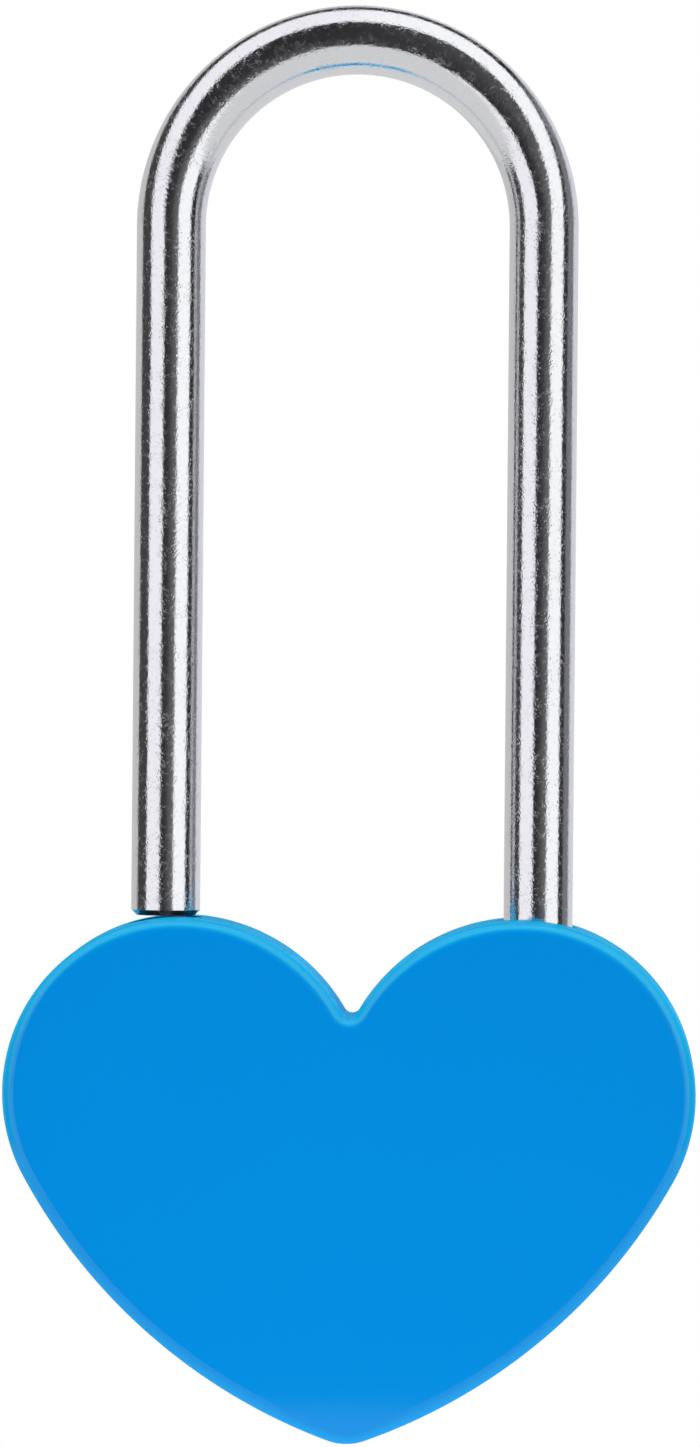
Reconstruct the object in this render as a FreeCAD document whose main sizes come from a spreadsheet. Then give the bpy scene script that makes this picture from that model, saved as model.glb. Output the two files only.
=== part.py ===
import FreeCAD, Part
import math
import os
import re
import Sketcher

# A heart-shaped padlock with a long round shackle, drawn open: the shackle is raised, the plug stands at its
# unlocked quarter turn and the bolt is drawn back. Millimetres. X runs across the heart, the front faces -Y,
# Z is up, and the origin is the lowest point of the heart's tip.

SIZES = {
    # Outline of the heart: circles that touch each other. Its width and height follow from the lobes.
    "tip_radius": 3.2,
    "flank_radius": 33.0,
    "lobe_radius": 10.1,
    "lobe_out": 9.9,
    "lobe_up": 20.15,
    "crown_radius": 11.0,
    "cleft_radius": 0.5,
    # Two plastic shells around a die-cast lock body
    "heart_thick": 10.0,
    "shell_wall": 1.2,
    "shell_gap": 0.1,
    "edge_round": 0.8,
    "seam_bevel": 0.1,
    "body_base": 2.6,
    "peg_dia": 1.6,
    "peg_skin": 0.4,
    "lobe_peg_out": 5.9,
    "left_peg_up": 2.0,
    "low_peg_out": 4.4,
    "low_peg_up": 1.4,
    # Clearances: slip is radial on a running fit, play is between faces, grip is radial on a pressed pin
    "slip": 0.05,
    "play": 0.1,
    "grip": 0.01,
    # Shackle: bent round rod, its heel turned down to a neck above a collar
    "rod_dia": 4.0,
    "leg_spacing": 21.6,
    "leg_reach": 40.05,
    "bore_gap": 0.15,
    "toe_gap": 0.2,
    "toe_chamfer": 0.4,
    "toe_room": 0.55,
    "lift": 6.5,
    "neck_step": 0.85,
    "collar_tall": 1.1,
    "stop_pin_dia": 1.0,
    # Spring and cup under the heel
    "cup_thick": 0.6,
    "cup_spigot": 1.0,
    "spring_wire": 0.35,
    "spring_solid": 2.6,
    "spring_turns": 7.0,
    # Plug, from its face at the tip up to the tang that drives the cam
    "plug_face": 1.0,
    "plug_radius": 2.8,
    "head_lip": 0.2,
    "journal_radius": 1.6,
    "clip_neck_radius": 1.1,
    "web_thick": 0.8,
    "tang_thick": 1.8,
    "tang_wide": 2.9,
    "tang_tall": 0.7,
    "keyway_wide": 1.1,
    "keyway_low": 1.5,
    "keyway_high": 1.9,
    "ward_deep": 0.35,
    "ward_tall": 0.5,
    # Retaining clip and cam
    "clip_radius": 2.5,
    "clip_thick": 0.4,
    "clip_mouth": 1.8,
    "cam_radius": 2.3,
    "cam_thick": 0.8,
    "crank_pin_dia": 1.1,
    "crank_gap": 0.1,
    # Sliding bolt
    "bolt_throw": 1.2,
    "bolt_thick": 1.3,
    "bolt_wide": 3.0,
    "tail_rim": 0.9,
    "pocket_wall": 1.05,
    "pocket_room": 0.4,
    # Pin stacks
    "first_pin_up": 6.2,
    "pin_pitch": 2.0,
    "pin_land": 1.2,
    "pin_dia": 1.6,
    "key_pin_inset": 0.15,
    "pin_over_axis": 0.6,
    "driver_long": 2.0,
    "driver_gap": 0.08,
    "pin_spring_long": 2.1,
    "pin_spring_wire": 0.2,
    "pin_spring_turns": 4.0,
    "chamber_cap_long": 1.0,
    # Cover over the bolt's pocket
    "cover_thick": 0.8,
    "cover_rim": 1.4,
    "cover_ledge": 2.8,
    "screw_dia": 1.4,
    "screw_head_dia": 2.2,
    "screw_head_tall": 0.45,
    "screw_slot": 0.3,
    "screw_long": 4.2,
}
KEY_PIN_LENGTHS = [1.5, 2.1, 1.8, 2.4]
ADD = "Additive"
CUT = "Subtractive"

# How far a cut runs past the surface that it opens
PAST = "1"

# Places worked out from the sizes, as formulas in the sheet's names
BODY_HALF = "(heart_thick / 2 - shell_wall - shell_gap)"
TOP_Z = "(lobe_up + lobe_radius)"
HEEL_X = "(leg_spacing / 2)"
ROD_R = "(rod_dia / 2)"
BORE_R = "(rod_dia / 2 + bore_gap)"
NECK_R = "(rod_dia / 2 - neck_step)"
ARCH_Z = "(%s + leg_reach)" % TOP_Z
TOE_Z = "(%s + toe_gap)" % TOP_Z
TOE_FLOOR_Z = "(%s - lift - toe_room)" % TOE_Z
HEAD_R = "(plug_radius + head_lip)"
WEB_Z = "(first_pin_up + %d * pin_pitch + pin_land)" % (len(KEY_PIN_LENGTHS) - 1)
FLOOR_Z = "(%s + web_thick)" % WEB_Z
CLIP_Z = "(%s + slip)" % FLOOR_Z
CAM_Z = "(%s + clip_thick + slip)" % CLIP_Z
CAM_TOP_Z = "(%s + cam_thick)" % CAM_Z
BOLT_Z = "(%s + play)" % CAM_TOP_Z
BOLT_TOP_Z = "(%s + bolt_thick)" % BOLT_Z
ROOF_Z = "(%s + 2 * play)" % BOLT_TOP_Z
COLLAR_TOP_Z = "(%s - play + lift)" % BOLT_Z
HEEL_Z = "(%s - collar_tall)" % COLLAR_TOP_Z
CUP_Z = "(%s - cup_thick)" % HEEL_Z
HEEL_FLOOR_Z = "(%s - lift - spring_solid)" % CUP_Z
STOP_PIN_Z = "(%s + slip + stop_pin_dia / 2)" % COLLAR_TOP_Z
STOP_PIN_X = "(%s - %s - play - stop_pin_dia / 2)" % (HEEL_X, NECK_R)
NECK_TOP_Z = "(%s + stop_pin_dia / 2 + play + lift)" % STOP_PIN_Z
NOSE_X = "(%s - %s - play - bolt_throw)" % (HEEL_X, NECK_R)
SLOT_HALF = "(crank_pin_dia / 2 + crank_gap)"
CRANK = "(bolt_throw / 2)"
TAIL_LEFT_X = "(-%s - %s - tail_rim)" % (CRANK, SLOT_HALF)
SLOT_REAR_Y = "(%s * sqrt(2) + %s)" % (CRANK, SLOT_HALF)
TAIL_REAR_Y = "(%s + tail_rim)" % SLOT_REAR_Y
POCKET_LEFT_X = "(-clip_radius - pocket_room)"
POCKET_RIGHT_X = "(%s - %s - pocket_wall)" % (HEEL_X, BORE_R)
POCKET_FRONT_Y = "(-clip_radius - play)"
RECESS_Y = "(%s - cover_thick)" % BODY_HALF
COVER_LEFT_X = "(%s - cover_rim)" % POCKET_LEFT_X
COVER_RIGHT_X = "(%s - play)" % POCKET_RIGHT_X
COVER_LOW_Z = "(%s - cover_rim)" % FLOOR_Z
COVER_TOP_Z = "(%s + cover_ledge)" % ROOF_Z
SCREW_Z = "(%s + cover_ledge / 2)" % ROOF_Z
SCREW_XS = ["(%s + cover_rim)" % COVER_LEFT_X, "(%s - cover_rim)" % COVER_RIGHT_X]
KEY_PIN_Y = "(-plug_radius + key_pin_inset)"
DRIVER_X = "(-plug_radius - driver_gap)"
DRIVER_OUT_X = "(%s - driver_long)" % DRIVER_X
SPRING_OUT_X = "(%s - pin_spring_long)" % DRIVER_OUT_X
PEG_PLACES = [
    ("(-lobe_out - lobe_peg_out)", "lobe_up"),
    ("(lobe_out + lobe_peg_out)", "lobe_up"),
    ("-%s" % HEEL_X, "(%s + left_peg_up)" % WEB_Z),
    ("(plug_radius + low_peg_out)", "(first_pin_up + low_peg_up)"),
]
PIN_ZS = ["(first_pin_up + %d * pin_pitch)" % step for step in range(len(KEY_PIN_LENGTHS))]

TURNS = {
    "x": FreeCAD.Rotation(FreeCAD.Vector(0, 1, 0), 90),
    "y": FreeCAD.Rotation(FreeCAD.Vector(1, 0, 0), -90),
    "z": FreeCAD.Rotation(),
}

doc = FreeCAD.newDocument("Padlock")
sheet = doc.addObject("Spreadsheet::Sheet", "Sizes")
for row, (alias, size) in enumerate(SIZES.items(), start=1):
    sheet.set("A%d" % row, alias)
    sheet.set("B%d" % row, str(size))
    sheet.setAlias("B%d" % row, alias)
doc.recompute()


def bind(feature, prop, formula):
    """Ties a property to a formula written in the sheet's names."""
    def cell(word):
        return "Sizes." + word.group() if word.group() in SIZES else word.group()

    feature.setExpression(prop, re.sub(r"[a-z_]{2,}", cell, formula))


def new_body(label):
    body = doc.addObject("PartDesign::Body", label)
    body.Label = label
    return body


def origin_plane(body, role):
    return next(plane for plane in body.Origin.OriginFeatures if plane.Role == role)


def put(feature, at, along="z"):
    """Turns a primitive's own Z to an axis and ties its base point."""
    feature.Placement = FreeCAD.Placement(FreeCAD.Vector(), TURNS[along])
    for letter, formula in zip("xyz", at):
        bind(feature, "Placement.Base." + letter, formula)


def base_point(along, at, start):
    """The start of a round feature: at gives the two coordinates across its axis, in X, Y, Z order."""
    point = list(at)
    point.insert("xyz".index(along), start)
    return point


def cylinder(body, sign, name, radius, along, at, span):
    """A round feature that runs along an axis over a span."""
    feature = body.newObject("PartDesign::%sCylinder" % sign, name)
    bind(feature, "Radius", radius)
    bind(feature, "Height", "(%s) - (%s)" % (span[1], span[0]))
    put(feature, base_point(along, at, span[0]), along)
    return feature


def cone(body, sign, name, radii, along, at, span):
    """A tapered round feature, from the first radius at the span's start to the second at its end."""
    feature = body.newObject("PartDesign::%sCone" % sign, name)
    bind(feature, "Radius1", radii[0])
    bind(feature, "Radius2", radii[1])
    bind(feature, "Height", "(%s) - (%s)" % (span[1], span[0]))
    put(feature, base_point(along, at, span[0]), along)
    return feature


def box(body, sign, name, low, high):
    """A box feature between two opposite corners."""
    feature = body.newObject("PartDesign::%sBox" % sign, name)
    for prop, near, far in zip(("Length", "Width", "Height"), low, high):
        bind(feature, prop, "(%s) - (%s)" % (far, near))
    put(feature, low)
    return feature


def face_in_plane(feature, letter, place):
    """The name of the flat face whose corners all lie at one coordinate."""
    doc.recompute()
    for number, face in enumerate(feature.Shape.Faces, start=1):
        if all(abs(getattr(corner.Point, letter) - place) < 1e-6 for corner in face.Vertexes):
            return "Face%d" % number
    raise ValueError("no face of %s at %s = %g" % (feature.Name, letter, place))


def heart_arcs(inset):
    """The eight arcs of the outline, drawn in by inset: centre, radius, first and last angle, all anticlockwise."""
    tip = (0, SIZES["tip_radius"])
    lobe = (SIZES["lobe_out"], SIZES["lobe_up"])
    crown = (lobe[0], lobe[1] + SIZES["lobe_radius"] - SIZES["crown_radius"])
    cleft_reach = SIZES["crown_radius"] + SIZES["cleft_radius"]
    cleft = (0, crown[1] + math.sqrt(cleft_reach**2 - crown[0] ** 2))
    to_tip = SIZES["flank_radius"] - SIZES["tip_radius"]
    to_lobe = SIZES["flank_radius"] - SIZES["lobe_radius"]
    apart = math.dist(tip, lobe)
    along = (to_tip**2 - to_lobe**2 + apart**2) / (2 * apart)
    aside = math.sqrt(to_tip**2 - along**2)
    unit = ((lobe[0] - tip[0]) / apart, (lobe[1] - tip[1]) / apart)
    flank = (tip[0] + along * unit[0] - aside * unit[1], tip[1] + along * unit[1] + aside * unit[0])

    def angle(start, end):
        return math.atan2(end[1] - start[1], end[0] - start[0])

    up = math.pi / 2
    at_tip = angle(flank, tip)
    at_lobe = angle(flank, lobe)
    at_cleft = angle(crown, cleft)
    right = {
        "flank": (flank, SIZES["flank_radius"] - inset, at_tip, at_lobe),
        "lobe": (lobe, SIZES["lobe_radius"] - inset, at_lobe, up),
        "crown": (crown, SIZES["crown_radius"] - inset, up, at_cleft),
    }
    arcs = {"tip": (tip, SIZES["tip_radius"] - inset, -math.pi - at_tip, at_tip)}
    arcs["cleft"] = (cleft, SIZES["cleft_radius"] + inset, -at_cleft, at_cleft - math.pi)
    for name, (centre, radius, first, last) in right.items():
        arcs["right_" + name] = (centre, radius, first, last)
        arcs["left_" + name] = ((-centre[0], centre[1]), radius, math.pi - last, math.pi - first)
    return arcs


def heart_sketch(body, name, inset_names, y_place):
    """The heart's outline in a plane facing the front, drawn in from the outside by the sum of some cells."""
    sketch = body.newObject("Sketcher::SketchObject", name)
    sketch.AttachmentSupport = [(origin_plane(body, "XZ_Plane"), "")]
    sketch.MapMode = "FlatFace"
    bind(sketch, "AttachmentOffset.Base.z", "-(%s)" % y_place)
    inset = sum(SIZES[cell] for cell in inset_names)
    number = {}
    for arc, (centre, radius, first, last) in heart_arcs(inset).items():
        circle = Part.Circle(FreeCAD.Vector(*centre, 0), FreeCAD.Vector(0, 0, 1), radius)
        number[arc] = sketch.addGeometry(Part.ArcOfCircle(circle, first, last), False)

    def tie(kind, formula, value, *places):
        index = sketch.addConstraint(Sketcher.Constraint(kind, *places, value))
        bind(sketch, "Constraints[%d]" % index, formula)

    start, end, centre = 1, 2, 3
    joints = [
        ("tip", end, "right_flank", start),
        ("right_flank", end, "right_lobe", start),
        ("right_lobe", end, "right_crown", start),
        ("right_crown", end, "cleft", end),
        ("cleft", start, "left_crown", start),
        ("left_crown", end, "left_lobe", start),
        ("left_lobe", end, "left_flank", start),
        ("left_flank", end, "tip", start),
    ]
    for one, one_end, other, other_end in joints:
        sketch.addConstraint(Sketcher.Constraint("Tangent", number[one], one_end, number[other], other_end))
    for arc in number:
        part = arc.split("_")[-1]
        grown = inset if part == "cleft" else -inset
        sign = " + " if part == "cleft" else " - "
        formula = sign.join([part + "_radius"] + inset_names)
        tie("Radius", formula, SIZES[part + "_radius"] + grown, number[arc])
    tie("DistanceX", "0", 0.0, number["tip"], centre)
    tie("DistanceY", "tip_radius", SIZES["tip_radius"], number["tip"], centre)
    for side, sign in (("right_", 1), ("left_", -1)):
        out = "%d * lobe_out" % sign
        tie("DistanceX", out, sign * SIZES["lobe_out"], number[side + "lobe"], centre)
        tie("DistanceY", "lobe_up", SIZES["lobe_up"], number[side + "lobe"], centre)
        tie("DistanceX", out, sign * SIZES["lobe_out"], number[side + "crown"], centre)
    return sketch


def heart_shell(label, front):
    """One half of the plastic case: an outer skin with a rounded rim, hollow inside, with half of each opening."""
    half = SIZES["heart_thick"] / 2
    body = new_body(label)
    skin = body.newObject("PartDesign::Pad", label + "_skin")
    skin.Profile = heart_sketch(body, label + "_outline", [], "0")
    skin.Reversed = not front
    bind(skin, "Length", "heart_thick / 2")
    rim = body.newObject("PartDesign::Fillet", label + "_rim")
    rim.Base = (skin, [face_in_plane(skin, "y", -half if front else half)])
    bind(rim, "Radius", "edge_round")
    seam = body.newObject("PartDesign::Chamfer", label + "_seam")
    seam.Base = (rim, [face_in_plane(rim, "y", 0)])
    bind(seam, "Size", "seam_bevel")
    hollow = body.newObject("PartDesign::Pocket", label + "_hollow")
    hollow.Profile = heart_sketch(body, label + "_inside", ["shell_wall"], "0")
    hollow.Reversed = front
    bind(hollow, "Length", "heart_thick / 2 - shell_wall")
    span = ("lobe_up", "%s + %s" % (TOP_Z, PAST))
    for leg, sign in (("toe", "-"), ("heel", "")):
        cylinder(body, CUT, "%s_%s_hole" % (label, leg), BORE_R, "z", (sign + HEEL_X, "0"), span)
    cylinder(body, CUT, label + "_key_hole", HEAD_R + " + play", "z", ("0", "0"), ("-" + PAST, "body_base"))
    for count, place in enumerate(PEG_PLACES, start=1):
        name = "%s_peg_%d" % (label, count)
        if front:
            span = ("-heart_thick / 2 + shell_wall / 2", "heart_thick / 2 - peg_skin - play")
            cylinder(body, ADD, name, "peg_dia / 2", "y", place, span)
        else:
            span = ("heart_thick / 2 - shell_wall - play", "heart_thick / 2 - peg_skin")
            cylinder(body, CUT, name, "peg_dia / 2 + slip", "y", place, span)
    return body


def lock_body():
    """The die-cast block that fills the shells, bored for both legs, the plug, its pins and the bolt."""
    body = new_body("lock_body")
    block = body.newObject("PartDesign::Pad", "block")
    block.Profile = heart_sketch(body, "block_outline", ["shell_wall", "shell_gap"], BODY_HALF)
    bind(block, "Length", "2 * " + BODY_HALF)
    far_x = "(lobe_out + lobe_radius)"
    box(body, CUT, "flat_base", ("-" + far_x, "-" + BODY_HALF, "0"), (far_x, BODY_HALF, "body_base"))
    cylinder(body, CUT, "toe_bore", BORE_R, "z", ("-" + HEEL_X, "0"), (TOE_FLOOR_Z, TOP_Z))
    cylinder(body, CUT, "heel_bore", BORE_R, "z", (HEEL_X, "0"), (HEEL_FLOOR_Z, TOP_Z))
    cylinder(body, CUT, "plug_bore", "plug_radius + slip", "z", ("0", "0"), ("0", WEB_Z))
    cylinder(body, CUT, "journal_bore", "journal_radius + slip", "z", ("0", "0"), (WEB_Z, FLOOR_Z))
    pocket_low = (POCKET_LEFT_X, POCKET_FRONT_Y, FLOOR_Z)
    box(body, CUT, "bolt_pocket", pocket_low, (POCKET_RIGHT_X, BODY_HALF, ROOF_Z))
    channel_half = "(bolt_wide / 2 + play)"
    channel_low = (POCKET_RIGHT_X, "-" + channel_half, BOLT_Z + " - play")
    box(body, CUT, "bolt_channel", channel_low, (HEEL_X, channel_half, BOLT_TOP_Z + " + play"))
    recess_low = (COVER_LEFT_X + " - play", RECESS_Y, COVER_LOW_Z + " - play")
    box(body, CUT, "cover_recess", recess_low, (COVER_RIGHT_X + " + play", BODY_HALF, COVER_TOP_Z + " + play"))
    for count, x in enumerate(SCREW_XS, start=1):
        span = (RECESS_Y + " - screw_long", RECESS_Y)
        cylinder(body, CUT, "screw_hole_%d" % count, "screw_dia / 2 + grip", "y", (x, SCREW_Z), span)
    for count, z in enumerate(PIN_ZS, start=1):
        span = ("-" + far_x, "-plug_radius / 2")
        cylinder(body, CUT, "chamber_%d" % count, "pin_dia / 2 + slip", "x", ("0", z), span)
    across = ("-" + BODY_HALF, BODY_HALF)
    cylinder(body, CUT, "stop_pin_hole", "stop_pin_dia / 2 + grip", "y", (STOP_PIN_X, STOP_PIN_Z), across)
    for count, place in enumerate(PEG_PLACES, start=1):
        cylinder(body, CUT, "peg_hole_%d" % count, "peg_dia / 2 + slip", "y", place, across)
    return body


def shackle():
    """Round rod bent into a long loop. The toe leg is plain, and the heel leg has a neck and a collar."""
    body = new_body("shackle")
    arch = body.newObject("PartDesign::AdditiveTorus", "arch")
    bind(arch, "Radius1", HEEL_X)
    bind(arch, "Radius2", ROD_R)
    arch.Angle3 = 180
    arch.Placement.Rotation = FreeCAD.Rotation(FreeCAD.Vector(1, 0, 0), 90)
    bind(arch, "Placement.Base.z", ARCH_Z)
    toe_place = ("-" + HEEL_X, "0")
    toe_bevel = (TOE_Z, TOE_Z + " + toe_chamfer")
    cylinder(body, ADD, "toe_leg", ROD_R, "z", toe_place, (TOE_Z + " + toe_chamfer", ARCH_Z))
    cone(body, ADD, "toe_end", (ROD_R + " - toe_chamfer", ROD_R), "z", toe_place, toe_bevel)
    cylinder(body, ADD, "heel_leg", ROD_R, "z", (HEEL_X, "0"), (NECK_TOP_Z, ARCH_Z))
    cylinder(body, ADD, "heel_neck", NECK_R, "z", (HEEL_X, "0"), (HEEL_Z, NECK_TOP_Z))
    cylinder(body, ADD, "heel_collar", ROD_R, "z", (HEEL_X, "0"), (HEEL_Z, COLLAR_TOP_Z))
    return body


def thrust_cup():
    """The disc between the spring and the turning heel, with a spigot that centres the spring."""
    body = new_body("thrust_cup")
    cylinder(body, ADD, "cup_disc", ROD_R + " - play", "z", (HEEL_X, "0"), (CUP_Z, HEEL_Z))
    spigot_r = "%s - spring_wire - play" % NECK_R
    cylinder(body, ADD, "cup_spigot_stub", spigot_r, "z", (HEEL_X, "0"), (CUP_Z + " - cup_spigot", CUP_Z))
    return body


def coil(label, along, start, offset, radius, wire, span, turns):
    """A coil spring along X or Z: its sketch sits at the start point, and span is its length over the wire."""
    body = new_body(label)
    section = body.newObject("Sketcher::SketchObject", label + "_wire")
    section.AttachmentSupport = [(origin_plane(body, "XZ_Plane"), "")]
    section.MapMode = "FlatFace"
    bind(section, "AttachmentOffset.Base.x", start)
    bind(section, "AttachmentOffset.Base.y", offset)
    section.addGeometry(Part.Circle(FreeCAD.Vector(1, 1, 0), FreeCAD.Vector(0, 0, 1), 0.1), False)
    out, up = ("DistanceX", "DistanceY") if along == "z" else ("DistanceY", "DistanceX")
    for kind, formula in ((out, "%s - %s / 2" % (radius, wire)), (up, wire + " / 2")):
        index = section.addConstraint(Sketcher.Constraint(kind, 0, 3, 1.0))
        bind(section, "Constraints[%d]" % index, formula)
    index = section.addConstraint(Sketcher.Constraint("Radius", 0, 0.1))
    bind(section, "Constraints[%d]" % index, wire + " / 2")
    helix = body.newObject("PartDesign::AdditiveHelix", label + "_coil")
    helix.Profile = section
    helix.ReferenceAxis = (section, ["V_Axis" if along == "z" else "H_Axis"])
    helix.Mode = "height-turns-angle"
    bind(helix, "Height", "%s - %s" % (span, wire))
    bind(helix, "Turns", turns)
    return body


def plug():
    """The turning core: face and keyway at the tip, pin chambers facing the front, journal, neck and tang."""
    body = new_body("plug")
    here = ("0", "0")
    cylinder(body, ADD, "barrel", "plug_radius", "z", here, ("plug_face", WEB_Z + " - slip"))
    cylinder(body, ADD, "head", HEAD_R, "z", here, ("plug_face", "body_base - slip"))
    cylinder(body, ADD, "journal", "journal_radius", "z", here, (WEB_Z + " - slip", FLOOR_Z))
    cylinder(body, ADD, "clip_neck", "clip_neck_radius", "z", here, (FLOOR_Z, CAM_Z))
    tang_low = ("-tang_thick / 2", "-tang_wide / 2", CAM_Z)
    box(body, ADD, "tang", tang_low, ("tang_thick / 2", "tang_wide / 2", CAM_Z + " + tang_tall"))
    key_end = WEB_Z + " - pin_land"
    keyway_low = ("-keyway_wide / 2", "-keyway_low", "0")
    box(body, CUT, "keyway", keyway_low, ("keyway_wide / 2", "keyway_high", key_end))
    ward_low = ("keyway_wide / 2", "0", "0")
    box(body, CUT, "ward_groove", ward_low, ("keyway_wide / 2 + ward_deep", "ward_tall", key_end))
    for count, z in enumerate(PIN_ZS, start=1):
        span = ("-plug_radius - " + PAST, "pin_over_axis")
        cylinder(body, CUT, "pin_chamber_%d" % count, "pin_dia / 2 + slip", "y", ("0", z), span)
    return body


def plug_clip():
    """The open ring that holds the plug in its bore."""
    body = new_body("plug_clip")
    levels = (CLIP_Z, CLIP_Z + " + clip_thick")
    cylinder(body, ADD, "clip_disc", "clip_radius", "z", ("0", "0"), levels)
    cylinder(body, CUT, "clip_bore", "clip_neck_radius + slip", "z", ("0", "0"), levels)
    mouth_low = ("0", "-clip_mouth / 2", levels[0])
    box(body, CUT, "clip_mouth_gap", mouth_low, ("clip_radius", "clip_mouth / 2", levels[1]))
    return body


def drive_cam():
    """The disc on the plug's tang, whose crank pin slides the bolt."""
    body = new_body("drive_cam")
    cylinder(body, ADD, "cam_disc", "cam_radius", "z", ("0", "0"), (CAM_Z, CAM_TOP_Z))
    slot_low = ("-tang_thick / 2 - slip", "-tang_wide / 2 - slip", CAM_Z)
    box(body, CUT, "tang_slot", slot_low, ("tang_thick / 2 + slip", "tang_wide / 2 + slip", CAM_Z + " + tang_tall"))
    crank_place = ("-" + CRANK, CRANK)
    levels = (CAM_TOP_Z, BOLT_TOP_Z + " + play")
    cylinder(body, ADD, "crank_pin", "crank_pin_dia / 2", "z", crank_place, levels)
    return body


def bolt():
    """The sliding bolt: a bar with a slotted tail around the crank pin and a nose that reaches over the collar."""
    body = new_body("bolt")
    half = "(bolt_wide / 2)"
    box(body, ADD, "bar", (TAIL_LEFT_X, "-" + half, BOLT_Z), (NOSE_X, half, BOLT_TOP_Z))
    tail_right = "(-%s + %s + tail_rim)" % (CRANK, SLOT_HALF)
    box(body, ADD, "tail", (TAIL_LEFT_X, "-" + half, BOLT_Z), (tail_right, TAIL_REAR_Y, BOLT_TOP_Z))
    slot_low = ("-%s - %s" % (CRANK, SLOT_HALF), "-crank_gap", BOLT_Z)
    slot_high = ("-%s + %s" % (CRANK, SLOT_HALF), SLOT_REAR_Y, BOLT_TOP_Z)
    box(body, CUT, "crank_slot", slot_low, slot_high)
    return body


def cover_plate():
    """The plate that closes the bolt's pocket at the rear of the lock body."""
    body = new_body("cover_plate")
    low = (COVER_LEFT_X, RECESS_Y, COVER_LOW_Z)
    box(body, ADD, "plate", low, (COVER_RIGHT_X, BODY_HALF, COVER_TOP_Z))
    for count, x in enumerate(SCREW_XS, start=1):
        through = (RECESS_Y, BODY_HALF)
        seat = (BODY_HALF + " - screw_head_tall - slip", BODY_HALF)
        cylinder(body, CUT, "screw_way_%d" % count, "screw_dia / 2 + slip", "y", (x, SCREW_Z), through)
        cylinder(body, CUT, "screw_seat_%d" % count, "screw_head_dia / 2 + slip", "y", (x, SCREW_Z), seat)
    return body


def cover_screw(count):
    """One slotted screw of the cover plate, with its head sunk in the plate."""
    body = new_body("cover_screw_%d" % count)
    place = (SCREW_XS[count - 1], SCREW_Z)
    seat = BODY_HALF + " - screw_head_tall - slip"
    head_top = "(%s - slip)" % BODY_HALF
    cylinder(body, ADD, "screw_head_%d" % count, "screw_head_dia / 2", "y", place, (seat, head_top))
    cylinder(body, ADD, "screw_shank_%d" % count, "screw_dia / 2", "y", place, (RECESS_Y + " - screw_long + play", seat))
    slot_low = (place[0] + " - screw_head_dia", head_top + " - screw_head_tall / 2", place[1] + " - screw_slot / 2")
    slot_high = (place[0] + " + screw_head_dia", head_top, place[1] + " + screw_slot / 2")
    box(body, CUT, "screw_slot_%d" % count, slot_low, slot_high)
    return body


def stop_pin():
    """The pin across the heel bore that keeps the raised shackle in the lock body."""
    body = new_body("retaining_pin")
    cylinder(body, ADD, "stop_pin", "stop_pin_dia / 2", "y", (STOP_PIN_X, STOP_PIN_Z), ("-" + BODY_HALF, BODY_HALF))
    return body


def pin_stack(count, z, key_pin_long):
    """One pin stack: a pointed key pin in the plug, and a driver, a spring and a cap in the lock body."""
    tip = "pin_dia / 4"
    key_pin = new_body("key_pin_%d" % count)
    tip_y = "(%s + %g - %s)" % (KEY_PIN_Y, key_pin_long, tip)
    cylinder(key_pin, ADD, "key_pin_shank_%d" % count, "pin_dia / 2", "y", ("0", z), (KEY_PIN_Y, tip_y))
    taper = (tip_y, "%s + %s" % (tip_y, tip))
    cone(key_pin, ADD, "key_pin_tip_%d" % count, ("pin_dia / 2", "pin_dia / 4"), "y", ("0", z), taper)
    driver = new_body("driver_pin_%d" % count)
    cylinder(driver, ADD, "driver_%d" % count, "pin_dia / 2", "x", ("0", z), (DRIVER_OUT_X, DRIVER_X))
    spring_radius = "(pin_dia / 2 - slip)"
    spring = coil("pin_spring_%d" % count, "x", SPRING_OUT_X, z, spring_radius, "pin_spring_wire",
                  "pin_spring_long", "pin_spring_turns")
    cap = new_body("chamber_cap_%d" % count)
    span = (SPRING_OUT_X + " - chamber_cap_long", SPRING_OUT_X)
    cylinder(cap, ADD, "cap_%d" % count, "pin_dia / 2 + slip - grip", "x", ("0", z), span)
    return [key_pin, driver, spring, cap]


parts = [heart_shell("front_shell", True), heart_shell("rear_shell", False), lock_body(), shackle(), thrust_cup()]
spring_span = "(%s - %s)" % (CUP_Z, HEEL_FLOOR_Z)
parts.append(coil("shackle_spring", "z", HEEL_X, HEEL_FLOOR_Z, NECK_R, "spring_wire", spring_span, "spring_turns"))
parts += [stop_pin(), plug(), plug_clip(), drive_cam(), bolt(), cover_plate()]
parts += [cover_screw(count) for count in range(1, len(SCREW_XS) + 1)]
for count, (z, key_pin_long) in enumerate(zip(PIN_ZS, KEY_PIN_LENGTHS), start=1):
    parts += pin_stack(count, z, key_pin_long)
doc.recompute()

for thing in doc.Objects:
    if "Invalid" in thing.State or "Error" in thing.State:
        raise ValueError("%s failed: %s" % (thing.Name, thing.State))
for part in parts:
    if part.Shape.isNull() or not part.Shape.isValid() or len(part.Shape.Solids) != 1:
        raise ValueError("%s is not one valid solid" % part.Label)

os.makedirs("parts", exist_ok=True)
for part in parts:
    part.Shape.exportStep("parts/%s.step" % part.Label)
    box_mm = part.Shape.optimalBoundingBox(False)
    print("%-16s %9.3f mm3  x %.2f..%.2f  y %.2f..%.2f  z %.2f..%.2f" % (
        part.Label, part.Shape.Volume, box_mm.XMin, box_mm.XMax, box_mm.YMin, box_mm.YMax, box_mm.ZMin, box_mm.ZMax))
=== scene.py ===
import math

import bpy
from mathutils import Matrix, Vector


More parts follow.
